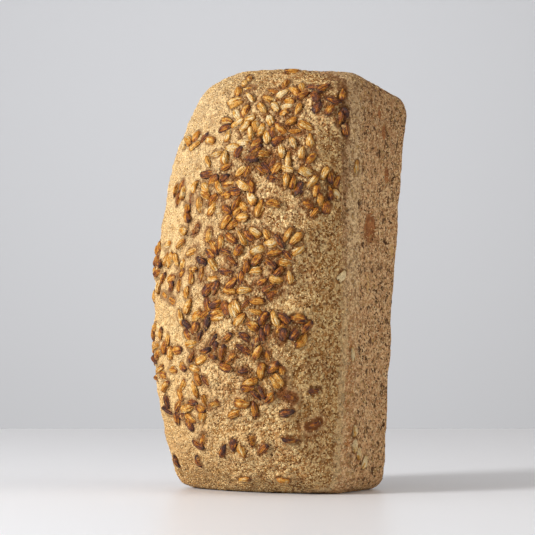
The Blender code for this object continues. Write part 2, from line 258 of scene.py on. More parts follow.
# Each drift: the way round from the crown in degrees, the height, half the long spread, half the short
# spread, the slant of the long spread in degrees, and how many kernels lie there.
DRIFTS = {
    "head arc on the left": (-5, 0.205, 0.012, 0.006, -71, 7),
    "head middle": (27, 0.202, 0.014, 0.010, 35, 10),
    "head string": (49, 0.204, 0.010, 0.008, 0, 6),
    "string down the shoulder": (61, 0.192, 0.009, 0.003, -75, 4),
    "upper middle": (4, 0.187, 0.013, 0.007, -30, 8),
    "upper right": (30, 0.187, 0.015, 0.008, -15, 10),
    "upper far left": (-30, 0.182, 0.012, 0.005, 15, 4),
    "below the upper middle": (11, 0.173, 0.013, 0.009, 0, 9),
    "below the upper right": (35, 0.167, 0.014, 0.009, 90, 12),
    "left of the middle": (-8, 0.168, 0.010, 0.006, 60, 5),
    "right tail": (49, 0.155, 0.014, 0.008, 84, 8),
    "left edge": (-30, 0.153, 0.018, 0.004, -69, 4),
    "fan": (-2, 0.154, 0.016, 0.010, 0, 13),
    "right of the fan": (18, 0.147, 0.009, 0.007, 30, 5),
    "band on the left": (-21, 0.127, 0.030, 0.010, 10, 13),
    "band in the middle": (13, 0.130, 0.015, 0.009, -30, 10),
    "band on the right": (32, 0.126, 0.010, 0.007, 80, 6),
    "under the band, left": (-32, 0.108, 0.015, 0.010, -20, 7),
    "under the band, middle": (4, 0.112, 0.017, 0.009, -10, 11),
    "under the band, right": (27, 0.107, 0.017, 0.006, 61, 6),
    "belly on the left": (-10, 0.094, 0.014, 0.008, 13, 7),
    "belly in the middle": (19, 0.090, 0.018, 0.008, -20, 10),
    "belly on the right": (40, 0.086, 0.009, 0.006, -60, 4),
    "under the belly": (15, 0.073, 0.015, 0.010, -18, 10),
    "down the middle": (25, 0.054, 0.021, 0.007, 63, 8),
    "left side": (-38, 0.065, 0.021, 0.014, -73, 12),
    "beside the left side": (-11, 0.069, 0.020, 0.008, -79, 8),
    "low on the left": (-20, 0.043, 0.018, 0.008, 9, 8),
    "round the left shoulder": (-60, 0.098, 0.034, 0.012, 80, 11),
    "foot row": (5, 0.026, 0.024, 0.005, 0, 5),
}
# Single kernels: the way round in degrees, the height, and how far the kernel is turned from level, in
# degrees.
LONE_KERNELS = {
    "on the head's edge": (33, 0.2185, 12),
    "low right, upper": (41, 0.051, -20),
    "low right, shoulder": (55, 0.054, 10),
    "low right, middle": (41, 0.043, 15),
    "low right, sunk": (57, 0.037, 25),
    "low right, lower": (45, 0.029, -5),
    "foot, far left": (-54, 0.016, 75),
    "foot, left": (-27, 0.017, 80),
    "foot, middle": (10, 0.0085, 15),
    "foot, right": (47, 0.0085, -10),
    "side wall, upper": (88, 0.033, 80),
    "side wall, lower": (95, 0.021, 75),
    "side wall, foot": (102, 0.016, 60),
}
# Kernels that lie so close to others that only this dressing has them.
TUCKED_SHARE = 0.45
TUCKED_GAP = 0.45
TUCKED_SEED = 12
TUCKED_ALONE = {
    "side wall, tucked": (90, 0.0255, 85),
    "side wall, by the lip": (80, 0.072, 95),
    "right margin, lone": (66, 0.112, 50),
    "crease, lone": (72, 0.168, 80),
}


# %% Drop the kernels
def kernel_lines(points, normals, turns, length, width):
    """Directions of kernels lying on the crust, and points along each one's middle line."""
    level = np.cross([0.0, 0.0, 1.0], normals)
    level = level / np.linalg.norm(level, axis=1)[:, None]
    rising = np.cross(normals, level)
    along = level * np.cos(turns)[:, None] + rising * np.sin(turns)[:, None]
    steps = np.linspace(-0.5, 0.5, LINE_POINTS) * (length - width)
    lines = points[:, None, :] + along[:, None, :] * steps[None, :, None]
    return along, lines


def clearance(lines, placed):
    """Least distance from each candidate's middle line to the kernels placed before it."""
    if not placed:
        return np.full(len(lines), REACH)
    others = np.concatenate([kernel["line"] for kernel in placed])
    apart = np.linalg.norm(lines[:, :, None, :] - others[None, None, :, :], axis=3)
    return apart.min(axis=(1, 2))


def drop_kernel(draw, placed, angles, heights, turns, name, gap):
    """Adds the first candidate that lies clear of the kernels there already, or none of them."""
    length = draw.uniform(*KERNEL_LENGTH)
    width = draw.uniform(*KERNEL_WIDTH)
    thickness = draw.uniform(*KERNEL_THICKNESS)
    points = crust_points(angles, np.maximum(heights, LOWEST_KERNEL))
    normals = outward(points)
    along, lines = kernel_lines(points, normals, turns, length, width)
    free = clearance(lines, placed)
    clear = np.flatnonzero(free > gap * width)
    if len(clear) == 0:
        return
    pick = clear[0]
    placed.append({
        "name": name,
        "point": points[pick],
        "normal": normals[pick],
        "along": along[pick],
        "line": lines[pick],
        "size": (length, width, thickness),
    })


def fill_drifts(draw, placed, share, gap):
    """Drift after drift, a share of its kernels, each at a random place in the drift."""
    for name, (angle, height, long_half, short_half, slant, count) in DRIFTS.items():
        tilt = math.radians(slant)
        for _ in range(round(share * count)):
            candidates = []
            for _ in range(KERNEL_TRIES):
                spread = DRIFT_TIGHTNESS * math.sqrt(draw.random())
                bearing = draw.uniform(0.0, 2.0 * math.pi)
                u = long_half * spread * math.cos(bearing)
                v = short_half * spread * math.sin(bearing)
                round_way = u * math.cos(tilt) - v * math.sin(tilt)
                up = u * math.sin(tilt) + v * math.cos(tilt)
                candidates.append((round_way, up, draw.uniform(0.0, math.pi)))
            offsets = np.array(candidates)
            angles = math.radians(angle) + offsets[:, 0] / abs(MIDDLE_LINE_Y)
            drop_kernel(draw, placed, angles, height + offsets[:, 1], offsets[:, 2], name, gap)


def scatter_kernels(placed, seed, singles, share, gap):
    """Adds the single kernels, then a share of those in the drifts."""
    draw = random.Random(seed)
    for name, (angle, height, turn) in singles.items():
        angles, heights, turns = np.radians([angle]), np.array([height]), np.radians([turn])
        drop_kernel(draw, placed, angles, heights, turns, name, gap)
    fill_drifts(draw, placed, share, gap)


kernels = []
scatter_kernels(kernels, KERNEL_SEED, LONE_KERNELS, 1.0, KERNEL_GAP)
print("kernels that the packed loaf has too:", len(kernels))
scatter_kernels(kernels, TUCKED_SEED, TUCKED_ALONE, TUCKED_SHARE, TUCKED_GAP)
print("kernels on the crust:", len(kernels))

# %% [markdown]
# ## Kinds of kernel
# Kernels that lay side by side in the same oven still differ: most turned golden, some scorched, a few
# stayed pale, and some sank into the dough and baked with a skin of it. The kind is settled here, before
# the crust, because the crust is stained round the sunk ones and climbs a little round them all.

# %% Shares of the kinds
KINDS = {
    # share of the kernels, least and most roast, height of the middle over the crust in thicknesses
    "golden": (0.67, 0.17, 0.62, 0.18),
    "dark": (0.12, 0.56, 0.86, 0.16),
    "pale": (0.05, 0.14, 0.24, 0.12),
    "raw": (0.0, -0.26, -0.12, 0.12),
    "sunk": (0.17, 0.25, 0.70, -0.06),
}
FIXED_KINDS = {
    "on the head's edge": "dark",
    "low right, upper": "sunk",
    "low right, shoulder": "golden",
    "low right, middle": "dark",
    "low right, sunk": "sunk",
    "low right, lower": "golden",
    "foot, far left": "dark",
    "foot, left": "golden",
    "foot, middle": "pale",
    "foot, right": "pale",
    "side wall, upper": "raw",
    "side wall, lower": "raw",
    "side wall, foot": "raw",
    "side wall, tucked": "raw",
    "side wall, by the lip": "raw",
    "right margin, lone": "raw",
    "string down the shoulder": "dark",
    "head string": "dark",
    "left side": "golden",
}
KIND_SEED = 7


def pick_kinds():
    """A kind for each kernel: the single kernels have theirs, the others are drawn."""
    draw = random.Random(KIND_SEED)
    names = list(KINDS)
    shares = [KINDS[name][0] for name in names]
    kinds = []
    for kernel in kernels:
        drawn = draw.choices(names, shares)[0]
        kinds.append(FIXED_KINDS.get(kernel["name"], drawn))
    return kinds


kinds = pick_kinds()
print("kinds:", {name: kinds.count(name) for name in KINDS})

# %% [markdown]
# ## The crust's mesh
# A cube is cut into a fine grid and every grid point is sent out from a small core box to the crust. That
# keeps the mesh closed and its squares even, with no poles. The relief goes in along the outward direction:
# broad wrinkles and a pebbled grain on the dome, where the skin dried and stretched, and almost nothing on
# the walls, which the tin pressed smooth, but for small chips along the edge where two of its walls met.
# Where a kernel was baked in, the dough has climbed a little around it.

# %% Grid of the crust
GRID_CUTS = (106, 106, 178)
GRID_HALF = (0.058, 0.050, 0.1165)
CORE_HALF = (0.030, 0.020, 0.080)
CORE_HEIGHT = 0.104


def reach_along(edge, axis):
    """How far an edge runs along an axis."""
    return abs(edge.verts[0].co[axis] - edge.verts[1].co[axis])


def grid_box(cuts):
    """A box from -1 to 1, each of its three directions cut into its own number of strips."""
    shape = bmesh.new()
    bmesh.ops.create_cube(shape, size=2.0)
    for axis, cut_count in enumerate(cuts):
        along_axis = [edge for edge in shape.edges if reach_along(edge, axis) > 1.0]
        bmesh.ops.subdivide_edges(shape, edges=along_axis, cuts=cut_count, use_grid_fill=True)
    return shape


def blow_out(shape):
    """The crust points of a grid box's vertices."""
    box = np.array([vertex.co for vertex in shape.verts]) * np.array(GRID_HALF)
    core_half = np.array(CORE_HALF)
    core = np.clip(box, -core_half, core_half)
    directions = box - core
    directions = directions / np.linalg.norm(directions, axis=1)[:, None]
    starts = middle_line(CORE_HEIGHT + core[:, 2])
    starts[:, :2] += core[:, :2]
    return to_crust(starts, directions)

# %% Relief of the crust
DOME_WRINKLE = (0.00075, 0.0085)  # depth and length of the dome's wrinkles
DOME_PEBBLE = (0.00050, 0.0028)  # depth and size of its pebbled grain
PEBBLE_LEVEL = 0.45  # where a pebble's slope crosses the plain crust, in sizes from its middle
WALL_WRINKLE = (0.00020, 0.0080)
EDGE_CHIP = (0.0013, 0.0090)  # depth and length of the chips along the tin's corners
EDGE_REACH = 0.0060
WRINKLE_FADING = (0.9, 2.1)  # how fast finer waves fade, and how much finer each is than the last
CHIP_FADING = (0.8, 2.1)
DOME_WAVES = 4
WALL_WAVES = 3
LEAST_SHARE = 0.02  # a relief that counts for less than this is skipped
COLLAR_WIDTH = 0.0022  # how far from a kernel the dough climbs
COLLAR_HEIGHT = 0.0008
STAIN_WIDTH = 0.0034
DRIFT_STAIN = 0.4  # how strong the stain of a sunk kernel in a drift is beside that of a lone one
KERNEL_REACH = 1.5  # how far from a kernel's middle the crust feels it, in lengths
LIP_RIDGE = (-0.7, 1.0, 0.00080)  # middle and width over the shoulder, in lip depths, and height
CREASE = (-0.3, 0.7, 0.00060)
LIP_TURNS = (0.095, 0.120)  # heights between which the pale lip gives way to the crease
PLAIN_FOOT = 0.004  # relief fades out below this height
RIGHT_SIDE = (0.03, 0.01)  # how far across the loaf its right side starts, and how far it fades in


def relief(points, dome, edge):
    """How far each crust point stands out, in metres."""
    height = np.zeros(len(points))
    for number, (place, free, sharp) in enumerate(zip(points, dome, edge)):
        place = Vector(place)
        if free > LEAST_SHARE:
            wrinkle = noise.fractal(place / DOME_WRINKLE[1], *WRINKLE_FADING, DOME_WAVES)
            pebble = noise.voronoi(place / DOME_PEBBLE[1])[0][0]
            grain = DOME_PEBBLE[0] * (PEBBLE_LEVEL - pebble)
            height[number] += free * (DOME_WRINKLE[0] * wrinkle + grain)
        if free < 1.0 - LEAST_SHARE:
            ripple = noise.fractal(place / WALL_WRINKLE[1], *WRINKLE_FADING, WALL_WAVES)
            height[number] += (1.0 - free) * WALL_WRINKLE[0] * ripple
        if sharp > LEAST_SHARE:
            chip = max(noise.fractal(place / EDGE_CHIP[1], *CHIP_FADING, WALL_WAVES), 0.0)
            height[number] -= sharp * EDGE_CHIP[0] * chip
    return height


def lip_and_crease(rise, up):
    """Low down the shoulder has a raised lip, and higher up a crease."""
    high = np.clip((up - LIP_TURNS[0]) / (LIP_TURNS[1] - LIP_TURNS[0]), 0.0, 1.0)
    ridge = LIP_RIDGE[2] * np.exp(-((rise - LIP_RIDGE[0]) / LIP_RIDGE[1]) ** 2)
    crease = CREASE[2] * np.exp(-((rise - CREASE[0]) / CREASE[1]) ** 2)
    return (1.0 - high) * ridge - high * crease


def beside_kernels(points):
    """How near each point is to a kernel's rim, and how deep in a sunk kernel's stain, from 0 to 1."""
    near = np.zeros(len(points))
    stain = np.zeros(len(points))
    for kernel, kind in zip(kernels, kinds):
        length, width, _ = kernel["size"]
        offset = points - kernel["point"]
        found = np.flatnonzero(np.einsum("ij,ij->i", offset, offset) < (KERNEL_REACH * length) ** 2)
        if len(found) == 0:
            continue
        run = np.clip(offset[found] @ kernel["along"], (width - length) / 2.0, (length - width) / 2.0)
        away = np.linalg.norm(offset[found] - run[:, None] * kernel["along"], axis=1) - width / 2.0
        away = np.maximum(away, 0.0)
        near[found] = np.maximum(near[found], np.exp(-(away / COLLAR_WIDTH) ** 2))
        if kind == "sunk":
            strength = 1.0 if kernel["name"] in LONE_KERNELS else DRIFT_STAIN
            stain[found] = np.maximum(stain[found], strength * np.exp(-(away / STAIN_WIDTH) ** 2))
    return near, stain


# %% Make the crust
def held_in_box(places):
    """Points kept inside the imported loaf's box."""
    return np.clip(places, np.array(cad_box[0]), np.array(cad_box[1]))


def put_in_scene(name, data):
    """An object for a mesh, a light or a camera."""
    thing = bpy.data.objects.new(name, data)
    bpy.context.scene.collection.objects.link(thing)
    return thing


def store_numbers(mesh, layers):
    """Numbers kept on the mesh's points, for its material to read."""
    for name, values in layers.items():
        mesh.attributes.new(name, "FLOAT", "POINT").data.foreach_set("value", values.astype(np.float32))


def make_crust():
    """The crust's mesh object, with what its material needs to know stored on its points."""
    shape = grid_box(GRID_CUTS)
    points = blow_out(shape)
    across, height, along = loaf_axes(points)
    rise = (height - shoulder_height(across, run_of(along)) - LIP_OFFSET) / LIP_DEPTH
    dome = 1.0 / (1.0 + np.exp(-rise))
    bottom_edge = np.exp(-(height / EDGE_REACH) ** 2)
    corner_edge = np.exp(-((np.abs(across) - BASE_WIDTH / 2.0) / EDGE_REACH) ** 2)
    near, stain = beside_kernels(points)
    stand_out = relief(points, dome, bottom_edge * corner_edge) + COLLAR_HEIGHT * near
    stand_out = stand_out + lip_and_crease(rise, points[:, 2])
    stand_out = stand_out * np.clip(points[:, 2] / PLAIN_FOOT, 0.0, 1.0)
    places = held_in_box(points + outward(points) * stand_out[:, None] + np.array(STANDING_SHIFT))
    for vertex, place in zip(shape.verts, places):
        vertex.co = Vector(place)
    bmesh.ops.recalc_face_normals(shape, faces=shape.faces)
    for face in shape.faces:
        face.smooth = True
    mesh = bpy.data.meshes.new("crust")
    shape.to_mesh(mesh)
    shape.free()
    right = np.clip((across - RIGHT_SIDE[0]) / RIGHT_SIDE[1], 0.0, 1.0)
    store_numbers(mesh, {"rise": rise, "near": near, "stain": stain, "right": right})
    return put_in_scene("crust", mesh)


crust = make_crust()
print("crust:", len(crust.data.polygons) * 2, "triangles")

# %% [markdown]
# ## Kernels
# A hulled sunflower kernel is a plump, flattened drop: blunt at one end, a little pointed at the other,
# with a faint ridge down each face and a seam round its edge where its two halves meet. Each starts as a
# sphere whose points slide to that shape. Most lie flat, and some lie on edge, so that their seam shows.
# Sizes, bends and roast differ from kernel to kernel, and a kernel keeps its own roast on its points, so
# that one material can colour them all.

# %% Kernel shapes
KERNEL_SIDES = 24
KERNEL_RINGS = 12
TIP_POWERS = (0.60, 0.42)  # towards the point and towards the blunt end
RIDGES = 4.0
FACE_RIDGE = 0.085
RIDGE_DRAW = (0.2, 1.8)  # how much a kernel's ridges differ from the usual ones
EDGE_SEAM = 0.26
SEAM_DRAW = (0.3, 1.3)
SEAM_WIDTH = 0.20
ON_EDGE_SHARE = 0.28
ON_EDGE_ROLL = (math.radians(45.0), math.radians(90.0))
FLAT_ROLL = math.radians(14.0)
TIP_TILT = math.radians(8.0)
BEND = (-0.05, 0.02)  # how far a kernel bows down or up, in lengths
SWAY = (-0.06, 0.06)  # how far it bows aside
BOW_LEVEL = 0.4
TALLEST_KERNEL = 0.76  # the top's height over the crust, in thicknesses
FIBRE_ROUND = 2.8  # how fast the fibre pattern changes round a kernel and along it
FIBRE_ALONG = 0.7
UNEVENNESS = 0.24
UNEVEN_PACE = 1.7
NOISE_REACH = 99  # how far apart the kernels' places in the noise may lie
SHRINK = (0.84, 1.0)  # how far kernels dry, in length and in width
RIM_SHARES = (0.55, 0.35)  # how much the seam and the furrows count as rim
PALER_UP = 0.32  # how much less roasted the kernels at the head are than those at the foot


def unit_ball():
    """Points and faces of a sphere of radius 1."""
    shape = bmesh.new()
    bmesh.ops.create_uvsphere(shape, u_segments=KERNEL_SIDES, v_segments=KERNEL_RINGS, radius=1.0)
    shape.verts.index_update()
    points = np.array([vertex.co for vertex in shape.verts])
    faces = [[vertex.index for vertex in face.verts] for face in shape.faces]
    shape.free()
    return points, faces


def drop_profile(t):
    """The half width of a drop of length 2 at t from -1, its blunt end, to 1, its point."""
    sharp, blunt = TIP_POWERS
    widest = (blunt - sharp) / (blunt + sharp)
    most = (1.0 - widest) ** sharp * (1.0 + widest) ** blunt
    return np.clip(1.0 - t, 0.0, 2.0) ** sharp * np.clip(1.0 + t, 0.0, 2.0) ** blunt / most


def shape_kernel(ball, kernel, rise, draw):
    """One kernel's points, and for each how near a rim it is, how far out, and its place in the fibre."""
    length, width, thickness = kernel["size"]
    length *= draw.uniform(*SHRINK)
    width *= draw.uniform(*SHRINK)
    bend = draw.uniform(*BEND)
    sway = draw.uniform(*SWAY)
    ridge = FACE_RIDGE * draw.uniform(*RIDGE_DRAW)
    seam = EDGE_SEAM * draw.uniform(*SEAM_DRAW)
    roll = draw.gauss(0.0, FLAT_ROLL)
    if draw.random() < ON_EDGE_SHARE:
        roll = draw.choice((-1.0, 1.0)) * draw.uniform(*ON_EDGE_ROLL)
    tilt = draw.gauss(0.0, TIP_TILT)
    flip = draw.choice((-1.0, 1.0))
    wobble = Vector([draw.uniform(0, NOISE_REACH) for _ in range(3)])

    out = Vector(kernel["normal"])
    along = Vector(kernel["along"]) * flip
    lift = Matrix.Rotation(tilt, 3, out.cross(along))
    spin = Matrix.Rotation(roll, 3, along)
    turn = np.array(lift @ spin @ Matrix((out.cross(along), out, along)).transposed())
    half_height = math.hypot(math.cos(roll) * thickness, math.sin(roll) * width) / 2.0
    lying = min(rise * thickness, TALLEST_KERNEL * thickness - half_height)
    base = kernel["point"] + np.array(STANDING_SHIFT)

    t = ball[:, 2]
    angle = np.arctan2(ball[:, 1], ball[:, 0])
    half = drop_profile(t)
    in_seam = np.exp(-((np.sin(angle) / SEAM_WIDTH) ** 2))
    ridged = np.cos(RIDGES * angle)
    swell = 1.0 + ridge * ridged - seam * in_seam * (1.0 - t * t)
    swell += UNEVENNESS * np.array([noise.noise(Vector(point) * UNEVEN_PACE + wobble) for point in ball])
    bow = length * (t * t - BOW_LEVEL)
    x = half * swell * np.cos(angle) * width / 2.0 + sway * bow
    y = half * swell * np.sin(angle) * thickness / 2.0 + bend * bow
    places = np.stack([x, y, t * length / 2.0], axis=1) @ turn.T + kernel["normal"] * lying
    far_out = places @ kernel["normal"] / thickness
    rim = RIM_SHARES[0] * in_seam + np.abs(t) ** 4 + RIM_SHARES[1] * np.maximum(-ridged, 0.0)
    fibre = np.stack([FIBRE_ROUND * np.cos(angle), FIBRE_ROUND * np.sin(angle), FIBRE_ALONG * t], axis=1)
    return held_in_box(base + places), rim, far_out, fibre + np.array(wobble)


def make_kernels():
    """One mesh object for each kind of kernel."""
    ball, ball_faces = unit_ball()
    things = []
    for kind, (_, least, most, rise) in KINDS.items():
        draw = random.Random(kind)
        parts = []
        for kernel, its_kind in zip(kernels, kinds):
            if its_kind != kind:
                continue
            paler = PALER_UP * (kernel["point"][2] / BASE_LENGTH - 0.5)
            roast = np.full(len(ball), draw.uniform(least, most) - paler)
            parts.append((*shape_kernel(ball, kernel, rise, draw), roast))
        places, rim, far_out, fibre, roast = (np.concatenate(column) for column in zip(*parts))
        faces = [
            [index + number * len(ball) for index in face]
            for number in range(len(parts))
            for face in ball_faces
        ]
        mesh = bpy.data.meshes.new(f"kernels_{kind}")
        mesh.from_pydata(places.tolist(), [], faces)
        mesh.shade_smooth()
        store_numbers(mesh, {"rim": rim, "out": far_out, "roast": roast})
        fibres = mesh.attributes.new("fibre", "FLOAT_VECTOR", "POINT")
        fibres.data.foreach_set("vector", fibre.astype(np.float32).ravel())
        things.append(put_in_scene(f"kernels_{kind}", mesh))
        print(f"{kind} kernels: {len(parts)}, {len(mesh.polygons)} faces")
    return things


kernel_pieces = make_kernels()

# %% [markdown]
# ## Bran and grit
# Sprouted grain flour leaves bran and grit all over the dome: flecks half a millimetre to a millimetre
# across, some cream, some brown. A bump texture would look soft at this size, so they are real. Geometry
# Nodes strews grains of six faces, thickly on the dome, thinly on the walls and hardly any against a
# kernel, turns and stretches each at random and makes them real, one piece for the cream ones and one for
# the brown. Each grain keeps a random shade, and gets its own small cell of a UV map, which keeps its
# colour apart from its neighbours' when the finish is baked.

# %% Helpers for nodes
def add_node(tree, kind, inputs=None, **settings):
    """A new node's outputs. Each input is given a value, or the output of another node."""
    node = tree.nodes.new(kind)
    for setting, value in settings.items():
        setattr(node, setting, value)
    for socket, value in (inputs or {}).items():
        if isinstance(value, bpy.types.NodeSocket):
            tree.links.new(value, node.inputs[socket])
        else:
            node.inputs[socket].default_value = value
    return node.outputs


def add_ramp(tree, value, low, high, out_low, out_high):
    """A value carried from one range to another, and kept inside it."""
    inputs = {"Value": value, "From Min": low, "From Max": high, "To Min": out_low, "To Max": out_high}
    return add_node(tree, "ShaderNodeMapRange", inputs)["Result"]


def add_math(tree, operation, first, *others):
    """Arithmetic from left to right on values, each a socket or a number."""
    for other in others:
        first = add_node(tree, "ShaderNodeMath", {0: first, 1: other}, operation=operation)["Value"]
    return first


# %% Strew the bran
BRAN = {
    # least and most half size, grains for each square metre of dome, share of that on the walls, sink, seed
    "bran_pale": ((0.00024, 0.00060), 460000.0, 0.16, -0.00012, 5),
    "bran_brown": ((0.00024, 0.00056), 440000.0, 0.18, -0.00015, 6),
}
SHOULDER_BLEND = 0.8  # how far from the shoulder dome turns into wall, in lip depths
CLUMP_SIZE = 0.007
CLUMP_RANGE = (0.35, 0.65)
CLUMP_AMOUNT = (0.35, 1.65)  # the share of the usual amount between clumps and in them
KERNEL_SIDE = (0.6, 0.95)  # how near a kernel the bran starts to thin out, and is thinnest
BESIDE_KERNEL = 0.12  # the share of the usual amount that is left there
BRAN_SIDES = 3
BRAN_RINGS = 2
SIZE_SEED = 3
SHADE_SEED = 8
BRAN_MAP = "OFBake"
FACE_CORNERS = ((0.1, 0.1), (0.9, 0.1), (0.5, 0.9))  # a face's corners in its grain's cell of the map


def strewing_nodes(name, sizes, density, wall_share, lift, seed):
    """Grains on the faces, turned at random, each with its own shade."""
    tree = bpy.data.node_groups.new(name, "GeometryNodeTree")
    for way in ("INPUT", "OUTPUT"):
        tree.interface.new_socket("Geometry", in_out=way, socket_type="NodeSocketGeometry")

    def add(kind, inputs=None, **settings):
        return add_node(tree, kind, inputs, **settings)

    def layer(title):
        return add("GeometryNodeInputNamedAttribute", {"Name": title}, data_type="FLOAT")["Attribute"]

    amount = add_ramp(tree, layer("rise"), -SHOULDER_BLEND, SHOULDER_BLEND, density * wall_share, density)
    clump = add("ShaderNodeTexNoise", {"Scale": 1.0 / CLUMP_SIZE, "Detail": 2.0})["Fac"]
    uneven = add_ramp(tree, clump, *CLUMP_RANGE, *CLUMP_AMOUNT)
    covered = add_math(tree, "MAXIMUM", layer("near"), layer("stain"))
    free = add_ramp(tree, covered, *KERNEL_SIDE, 1.0, BESIDE_KERNEL)
    thinned = add_math(tree, "MULTIPLY", amount, uneven, free)

    faces = add("NodeGroupInput")[0]
    points = add("GeometryNodeDistributePointsOnFaces", {"Mesh": faces, "Density": thinned, "Seed": seed})
    offset = add("ShaderNodeVectorMath", {0: points["Normal"], "Scale": lift}, operation="SCALE")["Vector"]
    sunk = add("GeometryNodeSetPosition", {"Geometry": points["Points"], "Offset": offset})["Geometry"]
    shape = {"Segments": BRAN_SIDES, "Rings": BRAN_RINGS, "Radius": 1.0}
    grain = add("GeometryNodeMeshUVSphere", shape)["Mesh"]
    full_turn = {"Max": (math.tau,) * 3}
    spin = add("FunctionNodeRandomValue", full_turn, data_type="FLOAT_VECTOR")["Value"]
    span = {"Min": (sizes[0],) * 3, "Max": (sizes[1],) * 3, "Seed": SIZE_SEED}
    size = add("FunctionNodeRandomValue", span, data_type="FLOAT_VECTOR")["Value"]
    shade = add("FunctionNodeRandomValue", {"Seed": SHADE_SEED}, data_type="FLOAT")["Value"]
    placing = {"Points": sunk, "Instance": grain, "Rotation": spin, "Scale": size}
    strewn = add("GeometryNodeInstanceOnPoints", placing)["Instances"]
    storing = {"Geometry": strewn, "Name": "shade", "Value": shade}
    told = add("GeometryNodeStoreNamedAttribute", storing, data_type="FLOAT", domain="INSTANCE")
    real = add("GeometryNodeRealizeInstances", {"Geometry": told["Geometry"]})["Geometry"]
    add("NodeGroupOutput", {0: real})
    return tree


def give_cells(mesh):
    """A UV map on which each grain has a square cell of its own, and its triangles share it."""
    corners_each = BRAN_SIDES * 2 * 3
    grains = len(mesh.polygons) * 3 // corners_each
    row = math.ceil(math.sqrt(grains))
    loop = np.arange(grains * corners_each)
    grain = loop // corners_each
    corner = np.array(FACE_CORNERS)[loop % 3]
    places = np.stack([(grain % row + corner[:, 0]) / row, (grain // row + corner[:, 1]) / row], axis=1)
    layer = mesh.uv_layers.new(name=BRAN_MAP)
    layer.uv.foreach_set("vector", places.astype(np.float32).ravel())


def make_bran(name, settings):
    """One kind of bran as one real mesh."""
    sower = put_in_scene("sower", crust.data)
    sower.modifiers.new("strew bran", "NODES").node_group = strewing_nodes(name, *settings)
    graph = bpy.context.evaluated_depsgraph_get()
    mesh = bpy.data.meshes.new_from_object(sower.evaluated_get(graph))
    bpy.data.objects.remove(sower)
    mesh.name = name
    mesh.materials.clear()
    for layer in ("rise", "near", "stain", "right", "UVMap"):
        if layer in mesh.attributes:
            mesh.attributes.remove(mesh.attributes[layer])
    places = np.empty(len(mesh.vertices) * 3, np.float32)
    mesh.vertices.foreach_get("co", places)
    mesh.vertices.foreach_set("co", held_in_box(places.reshape(-1, 3)).astype(np.float32).ravel())
    give_cells(mesh)
    print(f"{name}: {len(mesh.polygons)} triangles, layers {[layer.name for layer in mesh.attributes]}")
    return put_in_scene(name, mesh)


bran_pieces = [make_bran(name, settings) for name, settings in BRAN.items()]

# %% [markdown]
# ## Finishes
# Colours are given as the eye reads them from a picture, from 0 to 255, and turned into the linear light
# that a shader works in. All patterns read Object coordinates, in millimetres, so a grain of a given size
# in the material is that size on the bread. A finish is built up as a painter glazes: one coat of colour
# over another, each with a share that says where it covers.


# %% Helpers for materials
def colour(*screen_values):
    """A linear colour from screen values."""
    linear = []
    for value in screen_values:
        share = value / 255.0
        linear.append(share / 12.92 if share <= 0.04045 else ((share + 0.055) / 1.055) ** 2.4)
    return (*linear, 1.0)


